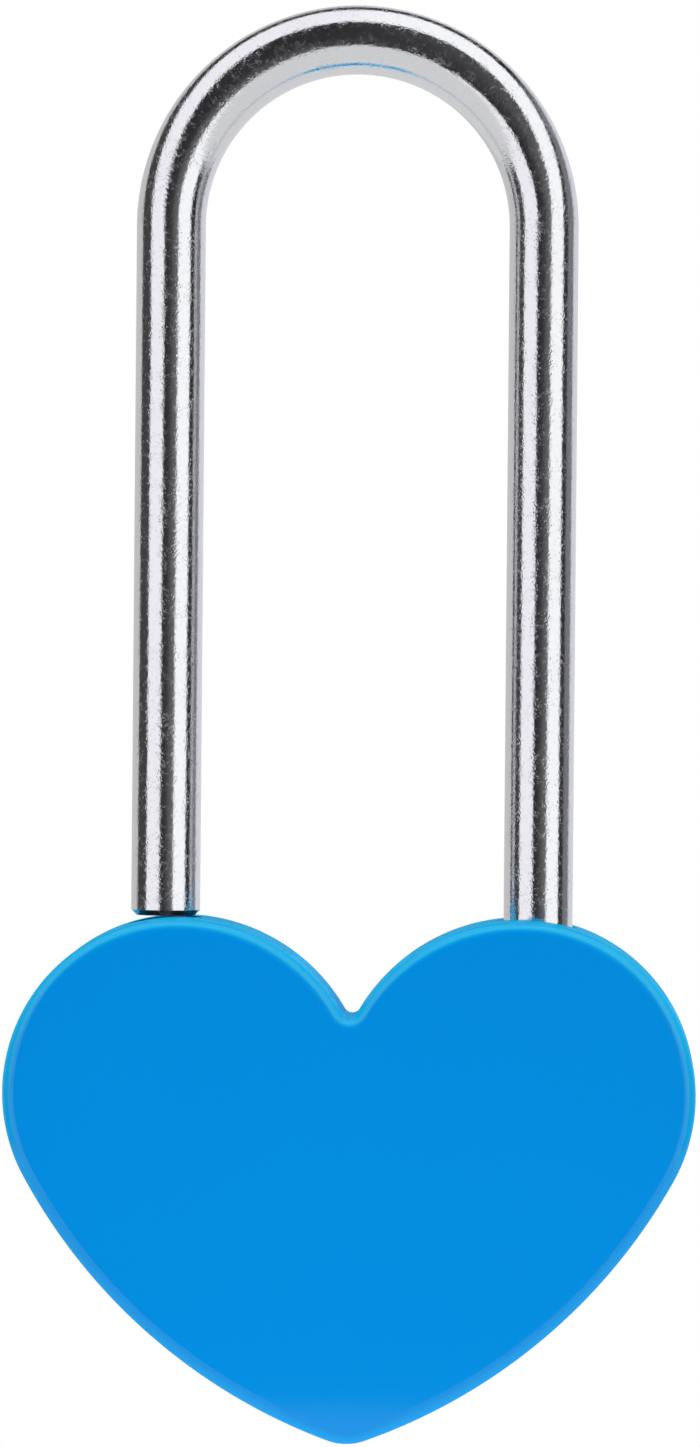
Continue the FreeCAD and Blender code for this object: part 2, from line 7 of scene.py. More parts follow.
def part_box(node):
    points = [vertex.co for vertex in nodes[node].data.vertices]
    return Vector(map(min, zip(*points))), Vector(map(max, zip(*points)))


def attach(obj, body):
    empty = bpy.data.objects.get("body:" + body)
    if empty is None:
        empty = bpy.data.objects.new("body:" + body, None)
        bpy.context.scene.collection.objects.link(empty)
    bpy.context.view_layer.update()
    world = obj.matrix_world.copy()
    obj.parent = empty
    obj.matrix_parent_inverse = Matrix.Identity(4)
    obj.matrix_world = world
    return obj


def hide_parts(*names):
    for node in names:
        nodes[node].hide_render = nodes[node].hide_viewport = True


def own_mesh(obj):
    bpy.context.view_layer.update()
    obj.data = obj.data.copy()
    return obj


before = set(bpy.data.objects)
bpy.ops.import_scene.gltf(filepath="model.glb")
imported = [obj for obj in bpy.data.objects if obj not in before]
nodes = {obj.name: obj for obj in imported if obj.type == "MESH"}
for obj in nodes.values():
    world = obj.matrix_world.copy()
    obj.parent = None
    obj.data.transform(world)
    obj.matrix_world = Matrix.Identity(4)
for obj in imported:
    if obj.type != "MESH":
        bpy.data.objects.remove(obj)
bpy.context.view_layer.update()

# ---------------------------------------------------------------------------------------------------------------
# The case: two halves moulded in glossy blue ABS, shaped as a heart, that meet on a seam round the middle.
# Each is a shell with a rounded rim and half of every opening. Four pegs in the front half press into blind
# holes in the rear half, and the two clasp the cast lock body between them.
# ---------------------------------------------------------------------------------------------------------------
MM = 0.001
WHOLE_TURN = 2 * math.pi

CASE_HALF = 5.0 * MM
CASE_WALL = 1.2 * MM
RIM_ROUND = 0.8 * MM
RIM_STEPS = 8
SEAM_BEVEL = 0.1 * MM
# Each arc of the outline from the tip up the right side: centre across and up, turn in degrees, and steps
OUTLINE_ARCS = [
    ((0.0, 3.2), 19.91, 10),
    ((-10.147, 31.219), 41.184, 44),
    ((9.9, 20.15), 118.906, 72),
    ((9.9, 19.25), 59.414, 40),
    ((0.0, 25.1015), -59.414, 10),
]
LEG_X = 10.8 * MM
LEG_HOLE_R = 2.15 * MM
LEG_HOLE_SPAN = (20.15 * MM, 32.0 * MM)
KEY_HOLE_R = 3.1 * MM
KEY_HOLE_SPAN = (-1.0 * MM, 2.6 * MM)
HOLE_SIDES = 96
HOLE_SOFTENING = 0.12 * MM
HOLE_SOFTENING_STEPS = 3
# Round a hole's edge, edges sharper than this many degrees are softened, unless they climb along the hole
HOLE_SHARPNESS = 35
HOLE_CLIMB = 0.5 * MM
PEG_PLACES = [(-15.8, 20.15), (15.8, 20.15), (-10.8, 15.4), (7.2, 7.6)]
PEG_R = 0.8 * MM
PEG_SPAN = (-4.4 * MM, 4.5 * MM)
PEG_HOLE_R = 0.85 * MM
PEG_HOLE_SPAN = (3.7 * MM, 4.6 * MM)
PEG_SIDES = 32

# Points nearer than MERGED become one, and two sizes nearer than CLOSE count as equal
MERGED = 0.001 * MM
CLOSE = 0.01 * MM
# Edges flatter than this many degrees are shaded smooth
SMOOTH_BELOW = 32
# Turns about X that set a cylinder upright, or lay it along Y
UPRIGHT = 0.0
BACKWARDS = -math.pi / 2


def start_piece(name, add, **sizes):
    """Adds a primitive with nothing else selected, names it, sets its origin, and opens it for editing."""
    bpy.ops.object.select_all(action="DESELECT")
    add(**sizes)
    bpy.ops.object.transform_apply(location=True, rotation=True, scale=True)
    piece = bpy.context.object
    piece.name = piece.data.name = name
    bpy.ops.object.mode_set(mode="EDIT")
    bpy.ops.mesh.select_mode(type="VERT")
    bpy.ops.mesh.select_all(action="SELECT")
    return piece


def pick(piece, kind, wanted, among_selected=False):
    """Selects the vertices, edges or faces that pass a test, out of all or of those selected already."""
    bpy.ops.mesh.select_mode(type=kind)
    if not among_selected:
        bpy.ops.mesh.select_all(action="SELECT")
    bpy.ops.object.mode_set(mode="OBJECT")
    mesh = piece.data
    elements = {"VERT": mesh.vertices, "EDGE": mesh.edges, "FACE": mesh.polygons}[kind]
    kept = [element.index for element in elements if element.select and wanted(element)]
    bpy.ops.object.mode_set(mode="EDIT")
    bpy.ops.mesh.select_all(action="DESELECT")
    bpy.ops.object.mode_set(mode="OBJECT")
    for index in kept:
        elements[index].select = True
    bpy.ops.object.mode_set(mode="EDIT")


def extrude(move, ratio=1.0, middle=(0, 0, 0)):
    """Extrudes what is selected along a move, then scales its new end about a middle point."""
    bpy.ops.mesh.extrude_region_move(TRANSFORM_OT_translate={"value": move})
    if ratio != 1.0:
        bpy.ops.transform.resize(value=(ratio, ratio, ratio), center_override=middle)


def close_mesh():
    """Merges doubled points, turns every face outwards, and leaves edit mode."""
    bpy.ops.mesh.select_all(action="SELECT")
    bpy.ops.mesh.remove_doubles(threshold=MERGED)
    bpy.ops.mesh.normals_make_consistent(inside=False)
    bpy.ops.object.mode_set(mode="OBJECT")


def apply_modifier(piece, kind, **settings):
    """Adds a modifier to a piece, sets it, and applies it."""
    bpy.ops.object.select_all(action="DESELECT")
    piece.select_set(True)
    bpy.context.view_layer.objects.active = piece
    bpy.ops.object.modifier_add(type=kind)
    modifier = piece.modifiers[-1]
    for name, value in settings.items():
        setattr(modifier, name, value)
    bpy.ops.object.modifier_apply(modifier=modifier.name)


def cut_or_join(piece, operation, radius, middle, along, sides):
    """Cuts a round hole in a piece or joins a round peg to it; along is its span from middle and its turn."""
    (low, high), turn = along
    place = Vector(middle) + Matrix.Rotation(turn, 3, "X") @ Vector((0, 0, (low + high) / 2))
    bpy.ops.object.select_all(action="DESELECT")
    bpy.ops.mesh.primitive_cylinder_add(
        vertices=sides, radius=radius, depth=high - low, location=place, rotation=(turn, 0, 0)
    )
    tool = bpy.context.object
    apply_modifier(piece, "BOOLEAN", operation=operation, object=tool, solver="EXACT")
    bpy.data.objects.remove(tool)


def smooth_by_area(piece):
    """Smooth shading that breaks at sharp edges, with the flat faces kept flat right up to their rounds."""
    bpy.ops.object.select_all(action="DESELECT")
    piece.select_set(True)
    bpy.context.view_layer.objects.active = piece
    bpy.ops.object.shade_smooth_by_angle(angle=math.radians(SMOOTH_BELOW))
    apply_modifier(piece, "WEIGHTED_NORMAL", keep_sharp=True, weight=100)


def mould_case_half(name, side):
    """One half of the case; side is -1 for the front and 1 for the rear."""
    half = start_piece(name, bpy.ops.mesh.primitive_plane_add, size=MM)
    bpy.ops.mesh.merge(type="CENTER")
    for (across, up), turn, steps in OUTLINE_ARCS:
        bpy.ops.mesh.spin(
            steps=steps, angle=math.radians(turn), center=(across * MM, 0, up * MM), axis=(0, 1, 0)
        )
    bpy.ops.mesh.select_all(action="SELECT")
    bpy.ops.mesh.duplicate()
    bpy.ops.transform.resize(value=(-1, 1, 1), center_override=(0, 0, 0))
    bpy.ops.mesh.select_all(action="SELECT")
    bpy.ops.mesh.remove_doubles(threshold=MERGED)
    bpy.ops.mesh.edge_face_add()
    bpy.ops.transform.translate(value=(0, side * SEAM_BEVEL, 0))
    extrude((0, side * (CASE_HALF - RIM_ROUND - SEAM_BEVEL), 0))
    for step in range(RIM_STEPS):
        before, after = (math.pi / 2 * (step + more) / RIM_STEPS for more in (0, 1))
        bpy.ops.mesh.inset(thickness=RIM_ROUND * (math.cos(before) - math.cos(after)))
        bpy.ops.transform.translate(value=(0, side * RIM_ROUND * (math.sin(after) - math.sin(before)), 0))

    def at_seam(face):
        """Whether a face is the many-sided one that closes the half at its seam."""
        return abs(face.center.y - side * SEAM_BEVEL) < CLOSE and len(face.vertices) > 4

    pick(half, "FACE", at_seam)
    bpy.ops.mesh.inset(thickness=SEAM_BEVEL)
    bpy.ops.transform.translate(value=(0, -side * SEAM_BEVEL, 0))
    bpy.ops.mesh.inset(thickness=CASE_WALL - SEAM_BEVEL)
    extrude((0, side * (CASE_HALF - CASE_WALL), 0))
    close_mesh()

    for across in (-LEG_X, LEG_X):
        cut_or_join(half, "DIFFERENCE", LEG_HOLE_R, (across, 0, 0), (LEG_HOLE_SPAN, UPRIGHT), HOLE_SIDES)
    cut_or_join(half, "DIFFERENCE", KEY_HOLE_R, (0, 0, 0), (KEY_HOLE_SPAN, UPRIGHT), HOLE_SIDES)
    for across, up in PEG_PLACES:
        middle = (across * MM, 0, up * MM)
        if side < 0:
            cut_or_join(half, "UNION", PEG_R, middle, (PEG_SPAN, BACKWARDS), PEG_SIDES)
        else:
            cut_or_join(half, "DIFFERENCE", PEG_HOLE_R, middle, (PEG_HOLE_SPAN, BACKWARDS), PEG_SIDES)

    def on_hole_edge(edge):
        """Whether an edge runs round the end of a leg's hole or of the plug's hole."""
        start, end = (half.data.vertices[index].co for index in edge.vertices)
        for point in (start, end):
            at_leg = abs(math.hypot(abs(point.x) - LEG_X, point.y) - LEG_HOLE_R) < CLOSE
            at_plug = abs(math.hypot(point.x, point.y) - KEY_HOLE_R) < CLOSE and point.z < LEG_HOLE_SPAN[0]
            if not (at_leg or at_plug):
                return False
        climb = abs(start.z - end.z)
        run = abs(start.x - end.x) + abs(start.y - end.y)
        return climb < HOLE_CLIMB and run > CLOSE

    bpy.ops.object.mode_set(mode="EDIT")
    bpy.ops.mesh.select_mode(type="EDGE")
    bpy.ops.mesh.select_all(action="DESELECT")
    bpy.ops.mesh.edges_select_sharp(sharpness=math.radians(HOLE_SHARPNESS))
    pick(half, "EDGE", on_hole_edge, among_selected=True)
    bpy.ops.mesh.bevel(
        offset=HOLE_SOFTENING, segments=HOLE_SOFTENING_STEPS, affect="EDGES", clamp_overlap=True
    )
    close_mesh()
    smooth_by_area(half)
    return half


class Reading:
    """A value read from a node's socket, which takes plain arithmetic."""

    def __init__(self, board, socket):
        self.board = board
        self.socket = socket

    def maths(self, operation, first, second):
        return self.board.node("ShaderNodeMath", {"operation": operation}, {0: first, 1: second})[0]

    def through(self, function):
        """A function of one value, such as its sine."""
        return self.board.node("ShaderNodeMath", {"operation": function}, {0: self})[0]

    def __add__(self, other):
        return self.maths("ADD", self, other)

    def __sub__(self, other):
        return self.maths("SUBTRACT", self, other)

    def __mul__(self, other):
        return self.maths("MULTIPLY", self, other)

    def __truediv__(self, other):
        return self.maths("DIVIDE", self, other)

    def __pow__(self, other):
        return self.maths("POWER", self, other)

    def __rsub__(self, other):
        return self.maths("SUBTRACT", other, self)

    __radd__ = __add__
    __rmul__ = __mul__


class Node:
    """A node on a board, whose outputs are read by name or number."""

    def __init__(self, board, node):
        self.board = board
        self.node = node

    def __getitem__(self, output):
        return Reading(self.board, self.node.outputs[output])


class Board:
    """The nodes of one material or of the surroundings."""

    def __init__(self, tree):
        self.tree = tree
        tree.nodes.clear()

    def node(self, kind, settings=None, inputs=None):
        """Adds a node: its settings first, then the values or links of its sockets."""
        made = self.tree.nodes.new(kind)
        for name, value in (settings or {}).items():
            setattr(made, name, value)
        for socket, value in (inputs or {}).items():
            if isinstance(value, Reading):
                self.tree.links.new(value.socket, made.inputs[socket])
            else:
                made.inputs[socket].default_value = value
        return Node(self, made)

    def between(self, value, low, high):
        """0 below low, 1 above high, and smooth between them."""
        settings = {"interpolation_type": "SMOOTHSTEP"}
        return self.node("ShaderNodeMapRange", settings, {"Value": value, "From Min": low, "From Max": high})[0]

    def mix(self, factor, first, second):
        """A blend of two colours."""
        settings = {"data_type": "RGBA"}
        return self.node("ShaderNodeMix", settings, {0: factor, 6: first, 7: second})[2]

    def noise(self, where, scale, detail=2.0, roughness=0.5):
        """Cloudy noise from 0 to 1, with about this many clouds to a metre."""
        inputs = {"Vector": where, "Scale": scale, "Detail": detail, "Roughness": roughness}
        return self.node("ShaderNodeTexNoise", {}, inputs)[0]


def new_finish(name):
    """A new material with an empty board."""
    material = bpy.data.materials.new(name)
    material.use_nodes = True
    return material, Board(material.node_tree)


def finish_metal(board, height, depth, colour, metallic, roughness):
    """A metal's shader, with a bump of this height and depth, joined to the material's output."""
    bump = board.node("ShaderNodeBump", {}, {"Height": height, "Distance": depth, "Strength": 1.0})
    inputs = {"Base Color": colour, "Metallic": metallic, "Roughness": roughness, "Normal": bump["Normal"]}
    shader = board.node("ShaderNodeBsdfPrincipled", {}, inputs)
    board.node("ShaderNodeOutputMaterial", {}, {"Surface": shader[0]})


BLUE = (0.0, 0.256, 0.695, 1)
PALE_BLUE = (0.03, 0.31, 0.76, 1)
DEEP_BLUE = (0.0, 0.235, 0.65, 1)
# Painted highlight: the paler blue that the rim is mixed towards, standing in for light from above
RIM_HIGHLIGHT_BLUE = (0.006, 0.37, 0.67, 1)
# How the melt flowed: its cloud scale, and how much it deepens the blue and dulls the polish
FLOW_SCALE = 90.0
FLOW_SPAN = (0.3, 0.7)
FLOW_POLISH_SPAN = (0.25, 0.75)
FLOW_TINT = 0.14
FLOW_DULLING = 0.03
# Fine orange peel and grain in the surface, and their depth
PEEL_SCALE = 1400.0
PEEL_SHARE = 0.7
GRAIN_SCALE = 9000.0
GRAIN_SHARE = 0.12
GRAIN_DULLING = 0.02
PEEL_DEPTH = 0.0015 * MM
# Rare pale specks of pigment
SPECK_SCALE = 220.0
SPECK_SIZES = (0.012, 0.03)
SPECK_TINT = 0.35
# Painted highlight: the rim is painted paler, as if lit from above. It starts just under the flat face, and is
# strongest on the lobes
RIM_HIGHLIGHT_DEPTHS = (CASE_HALF - 0.01 * MM, CASE_HALF - 0.12 * MM)
RIM_HIGHLIGHT_HEIGHTS = (12 * MM, 26 * MM)
RIM_HIGHLIGHT_LOW_SHARE = 0.25
POLISH = 0.07
# The share of light mirrored straight on, and what is added to it by a grazing angle
GLOSS = 0.024
GRAZING_GLOSS = 0.04
GRAZING_POWER = 4.0

blue_plastic, board = new_finish("glossy_blue_abs")
where = board.node("ShaderNodeTexCoord")["Object"]
place = board.node("ShaderNodeSeparateXYZ", {}, {0: where})
flow = board.noise(where, FLOW_SCALE, detail=3.0)
peel = board.noise(where, PEEL_SCALE)
grain = board.noise(where, GRAIN_SCALE)
cells = board.node("ShaderNodeTexVoronoi", {"feature": "F1"}, {"Vector": where, "Scale": SPECK_SCALE})
speck = 1 - board.between(cells["Distance"], *SPECK_SIZES)
shade = board.mix(board.between(flow, *FLOW_SPAN) * FLOW_TINT, BLUE, DEEP_BLUE)
shade = board.mix(speck * SPECK_TINT, shade, PALE_BLUE)
# Painted highlight: the rim is mixed towards a paler blue, most of all high on the lobes, as if lit from above
rim_highlight_zone = board.between(place["Y"].through("ABSOLUTE"), *RIM_HIGHLIGHT_DEPTHS)
rim_highlight_strength = board.between(place["Z"], *RIM_HIGHLIGHT_HEIGHTS) * (1 - RIM_HIGHLIGHT_LOW_SHARE) + RIM_HIGHLIGHT_LOW_SHARE
shade = board.mix(rim_highlight_zone * rim_highlight_strength, shade, RIM_HIGHLIGHT_BLUE)
polish = board.between(flow, *FLOW_POLISH_SPAN) * FLOW_DULLING + grain * GRAIN_DULLING + POLISH
peel_height = peel * PEEL_SHARE + grain * GRAIN_SHARE
peel_bump = board.node("ShaderNodeBump", {}, {"Height": peel_height, "Distance": PEEL_DEPTH})["Normal"]
pigment_inputs = {"Base Color": shade, "Roughness": polish, "Specular IOR Level": 0.0, "Normal": peel_bump}
pigment = board.node("ShaderNodeBsdfPrincipled", {}, pigment_inputs)
gloss_inputs = {"Color": (1, 1, 1, 1), "Roughness": polish, "Normal": peel_bump}
gloss = board.node("ShaderNodeBsdfAnisotropic", {}, gloss_inputs)
facing = board.node("ShaderNodeLayerWeight", {}, {"Blend": 0.5})["Facing"]
gloss_share = facing ** GRAZING_POWER * GRAZING_GLOSS + GLOSS
plastic = board.node("ShaderNodeMixShader", {}, {0: gloss_share, 1: pigment[0], 2: gloss[0]})
board.node("ShaderNodeOutputMaterial", {}, {"Surface": plastic[0]})

for name, cad_node, side in (("front_case", "front_shell", -1), ("rear_case", "rear_shell", 1)):
    case_half = mould_case_half(name, side)
    case_half.data.materials.append(blue_plastic)
    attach(case_half, "case")
    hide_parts(cad_node)

# ---------------------------------------------------------------------------------------------------------------
# The shackle: 4 mm steel rod bent into a long loop and bright plated. The toe leg ends in a small chamfer, and
# the heel leg is turned down to a neck above a collar, which stays behind the retaining pin in the lock body.
# ---------------------------------------------------------------------------------------------------------------
ROD_R = 2.0 * MM
ROD_SIDES = 96
HEEL_Z = 20.91 * MM
COLLAR_TOP_Z = 22.0 * MM
NECK_R = 1.15 * MM
NECK_TOP_Z = 29.65 * MM
ARCH_Z = 70.3 * MM
ARCH_STEPS = 144
LEG_STEPS = 24
TOE_Z = 30.30 * MM
TOE_CHAMFER = 0.32 * MM
TURNED_EDGE = 0.1 * MM

bent_shackle = start_piece(
    "bent_shackle",
    bpy.ops.mesh.primitive_circle_add,
    vertices=ROD_SIDES,
    radius=ROD_R - TURNED_EDGE,
    location=(LEG_X, 0, HEEL_Z),
)
# Up the heel: each turned step by its height and radius
heel_steps = [
    (HEEL_Z + TURNED_EDGE, ROD_R),
    (COLLAR_TOP_Z - TURNED_EDGE, ROD_R),
    (COLLAR_TOP_Z, ROD_R - TURNED_EDGE),
    (COLLAR_TOP_Z, NECK_R),
    (NECK_TOP_Z, NECK_R),
    (NECK_TOP_Z, ROD_R - TURNED_EDGE),
    (NECK_TOP_Z + TURNED_EDGE, ROD_R),
]
leg_start_z = NECK_TOP_Z + TURNED_EDGE
heel_steps += [
    (leg_start_z + (ARCH_Z - leg_start_z) * step / LEG_STEPS, ROD_R) for step in range(1, LEG_STEPS + 1)
]
height, radius = HEEL_Z, ROD_R - TURNED_EDGE
for next_height, next_radius in heel_steps:
    extrude((0, 0, next_height - height), next_radius / radius, (LEG_X, 0, next_height))
    height, radius = next_height, next_radius
bpy.ops.mesh.spin(steps=ARCH_STEPS, angle=math.pi, center=(0, 0, ARCH_Z), axis=(0, 1, 0))
leg_end_z = TOE_Z + TOE_CHAMFER
toe_steps = [
    (ARCH_Z + (leg_end_z - ARCH_Z) * step / LEG_STEPS, ROD_R) for step in range(1, LEG_STEPS + 1)
]
toe_steps.append((TOE_Z, ROD_R - TOE_CHAMFER))
for next_height, next_radius in toe_steps:
    extrude((0, 0, next_height - height), next_radius / radius, (-LEG_X, 0, next_height))
    height, radius = next_height, next_radius
bpy.ops.mesh.edge_face_add()
pick(bent_shackle, "VERT", lambda vertex: abs(vertex.co.z - HEEL_Z) < CLOSE and vertex.co.x > 0)
bpy.ops.mesh.edge_face_add()
close_mesh()
smooth_by_area(bent_shackle)

# The plating's pattern runs along the rod, so each point also keeps its place on the rod before it was bent
straight = bent_shackle.data.attributes.new("place_on_rod", "FLOAT_VECTOR", "POINT")
for vertex in bent_shackle.data.vertices:
    x, y, z = vertex.co
    if z > ARCH_Z:
        bend = math.atan2(z - ARCH_Z, x)
        aside, along = math.hypot(x, z - ARCH_Z) - LEG_X, ARCH_Z + LEG_X * bend
    elif x > 0:
        aside, along = x - LEG_X, z
    else:
        aside, along = -x - LEG_X, ARCH_Z + LEG_X * math.pi + ARCH_Z - z
    straight.data[vertex.index].vector = (aside, y, along)

PLATE = (0.83, 0.835, 0.85, 1)
PLATE_DULL = (0.60, 0.60, 0.62, 1)
# Ripples are long clouds, drawn out along the rod by this much
DRAWING = 0.22
RIPPLE_SCALE = 1500.0
RIPPLE_SHARE = 0.9
PLATE_PEEL_SCALE = 5200.0
PLATE_PEEL_SHARE = 1.4
PLATE_ROUGHNESS = 0.07
# Pits come in patches; each is a little deeper, duller and rougher than the plating round it
PORE_SCALE = 6000.0
PORE_SIZES = (0.08, 0.42)
PATCH_SCALE = 700.0
PATCH_SPAN = (0.3, 0.7)
PATCH_DULLING = 0.04
PITTED_SPAN = (0.36, 0.60)
PIT_SHARE = 0.8
PIT_TINT = 0.35
PIT_DULLING = 0.10
HAZE_SCALE = 3200.0
HAZE_SPAN = (0.44, 0.70)
HAZE_DULLING = 0.20
PLATE_DEPTH = 0.006 * MM

bright_plate, board = new_finish("bright_plate")
on_rod = board.node("ShaderNodeAttribute", {"attribute_name": "place_on_rod"})["Vector"]
drawn = board.node("ShaderNodeMapping", {}, {"Vector": on_rod, "Scale": (1.0, 1.0, DRAWING)})[0]
ripple = board.noise(drawn, RIPPLE_SCALE, detail=3.0, roughness=0.6)
peel = board.noise(on_rod, PLATE_PEEL_SCALE, detail=2.0, roughness=0.6)
pores = board.node("ShaderNodeTexVoronoi", {"feature": "F1"}, {"Vector": on_rod, "Scale": PORE_SCALE})
patches = board.noise(on_rod, PATCH_SCALE)
pit = (1 - board.between(pores["Distance"], *PORE_SIZES)) * board.between(patches, *PITTED_SPAN)
haze = board.between(board.noise(on_rod, HAZE_SCALE, detail=4.0, roughness=0.7), *HAZE_SPAN)
dulling = board.between(patches, *PATCH_SPAN) * PATCH_DULLING + pit * PIT_DULLING + haze * HAZE_DULLING
finish_metal(
    board,
    ripple * RIPPLE_SHARE + peel * PLATE_PEEL_SHARE - pit * PIT_SHARE,
    PLATE_DEPTH,
    colour=board.mix(pit * PIT_TINT, PLATE, PLATE_DULL),
    metallic=1.0,
    roughness=dulling + PLATE_ROUGHNESS,
)
bent_shackle.data.materials.append(bright_plate)
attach(bent_shackle, "shackle")
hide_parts("shackle")

# ---------------------------------------------------------------------------------------------------------------
# The plug: turned brass, with the keyway milled through its round face at the tip of the heart. The key pins
# stand in its cross holes, and the driver pins and their caps, also brass, lie in the lock body beside it.
# ---------------------------------------------------------------------------------------------------------------
BRASS = (0.72, 0.52, 0.22, 1)
BRASS_WORN = (0.86, 0.68, 0.36, 1)
BRASS_ROUGHNESS = 0.2
# Turning leaves rings this far apart, which wander a little
RING_PITCH = 0.12 * MM
RING_WANDER = 6
RING_SHARE = 0.5
RING_DULLING = 0.02
WANDER_SCALE = 900.0
WANDER_SHARE = 0.6
WANDER_DULLING = 0.2
WORN_SPAN = (0.35, 0.7)
BRASS_DEPTH = 0.004 * MM

brass, board = new_finish("turned_brass")
where = board.node("ShaderNodeTexCoord")["Object"]
place = board.node("ShaderNodeSeparateXYZ", {}, {0: where})
from_axis = (place["X"] * place["X"] + place["Y"] * place["Y"]) ** 0.5
wander = board.noise(where, WANDER_SCALE, detail=3.0)
rings = (from_axis * (WHOLE_TURN / RING_PITCH) + wander * RING_WANDER).through("SINE")
finish_metal(
    board,
    rings * RING_SHARE + wander * WANDER_SHARE,
    BRASS_DEPTH,
    colour=board.mix(board.between(wander, *WORN_SPAN), BRASS, BRASS_WORN),
    metallic=1.0,
    roughness=wander * WANDER_DULLING + BRASS_ROUGHNESS + rings * RING_DULLING,
)


def refinish(material, names):
    """Gives CAD nodes a finish in place of the plain one that they came with."""
    for name in names:
        for material_slot in nodes[name].material_slots:
            material_slot.material = material


PIN_NUMBERS = (1, 2, 3, 4)
refinish(brass, ["plug"])
for kind in ("key_pin", "driver_pin", "chamber_cap"):
    refinish(brass, ["%s_%d" % (kind, n) for n in PIN_NUMBERS])

# ---------------------------------------------------------------------------------------------------------------
# The lock body: one zinc die casting with the heart's own outline, bored for both legs, the plug and its pins.
# Its surface is left as cast, dull and slightly mottled, because the case hides all but the bores.
# ---------------------------------------------------------------------------------------------------------------
ZINC = (0.36, 0.37, 0.39, 1)
ZINC_BRIGHT = (0.50, 0.51, 0.53, 1)
ZINC_ROUGHNESS = 0.38
ZINC_METALLIC = 0.85
MOTTLE_SCALE = 450.0
MOTTLE_SPAN = (0.35, 0.65)
MOTTLE_SHARE = 0.6
MOTTLE_DULLING = 0.2
SKIN_SCALE = 4000.0
SKIN_SHARE = 0.5
CAST_DEPTH = 0.02 * MM

zinc, board = new_finish("cast_zinc")
where = board.node("ShaderNodeTexCoord")["Object"]
mottle = board.noise(where, MOTTLE_SCALE, detail=4.0, roughness=0.6)
skin = board.noise(where, SKIN_SCALE, detail=3.0)
finish_metal(
    board,
    mottle * MOTTLE_SHARE + skin * SKIN_SHARE,
    CAST_DEPTH,
    colour=board.mix(board.between(mottle, *MOTTLE_SPAN), ZINC, ZINC_BRIGHT),
    metallic=ZINC_METALLIC,
    roughness=mottle * MOTTLE_DULLING + ZINC_ROUGHNESS,
)
refinish(zinc, ["lock_body"])

# ---------------------------------------------------------------------------------------------------------------
# The small steel parts: cam, sliding bolt, cover plate, its two screws, the retaining pin and the thrust cup,
# stamped or turned from mild steel and tumbled. Fine lines run along the sheet they were cut from.
# ---------------------------------------------------------------------------------------------------------------
STEEL = (0.50, 0.51, 0.53, 1)
STEEL_BRIGHT = (0.66, 0.67, 0.68, 1)
STEEL_ROUGHNESS = 0.22
# Rolling lines are fine clouds, drawn out along X by this much
ROLLING = 0.08
LINE_SCALE = 9000.0
LINE_SHARE = 0.6
LINE_DULLING = 0.14
WEAR_SCALE = 600.0
WEAR_SPAN = (0.35, 0.7)
WEAR_SHARE = 0.3
WEAR_DULLING = 0.12
STEEL_DEPTH = 0.004 * MM

steel, board = new_finish("tumbled_steel")
where = board.node("ShaderNodeTexCoord")["Object"]
stretched = board.node("ShaderNodeMapping", {}, {"Vector": where, "Scale": (ROLLING, 1.0, 1.0)})[0]
lines = board.noise(stretched, LINE_SCALE, detail=3.0, roughness=0.6)
wear = board.noise(where, WEAR_SCALE, detail=3.0)
finish_metal(
    board,
    lines * LINE_SHARE + wear * WEAR_SHARE,
    STEEL_DEPTH,
    colour=board.mix(board.between(wear, *WEAR_SPAN), STEEL, STEEL_BRIGHT),
    metallic=1.0,
    roughness=lines * LINE_DULLING + wear * WEAR_DULLING + STEEL_ROUGHNESS,
)
refinish(steel, ["drive_cam", "bolt", "cover_plate", "retaining_pin", "thrust_cup"])
refinish(steel, ["cover_screw_1", "cover_screw_2"])

# ---------------------------------------------------------------------------------------------------------------
# The springs and the clip: drawn spring wire and spring strip, darker than the other steel. One coil lifts the
# shackle's heel, four small ones press the driver pins inwards, and the clip holds the plug from behind.
# ---------------------------------------------------------------------------------------------------------------
WIRE = (0.34, 0.34, 0.36, 1)
WIRE_BLUED = (0.25, 0.27, 0.33, 1)
WIRE_ROUGHNESS = 0.2
BLUING_SCALE = 1600.0
BLUING_SPAN = (0.35, 0.65)
BLUING_DULLING = 0.2
WIRE_DEPTH = 0.004 * MM
WIRE_SIDES = 16
# Faces to each turn of a coil
COIL_STEPS = 32
HEEL_WIRE = 0.35 * MM
HEEL_TURNS = 7
PIN_WIRE = 0.2 * MM
PIN_TURNS = 4

spring_steel, board = new_finish("drawn_wire")
where = board.node("ShaderNodeTexCoord")["Object"]
bluing = board.noise(where, BLUING_SCALE, detail=3.0)
finish_metal(
    board,
    bluing,
    WIRE_DEPTH,
    colour=board.mix(board.between(bluing, *BLUING_SPAN), WIRE, WIRE_BLUED),
    metallic=1.0,
    roughness=bluing * BLUING_DULLING + WIRE_ROUGHNESS,
)
refinish(spring_steel, ["plug_clip"])


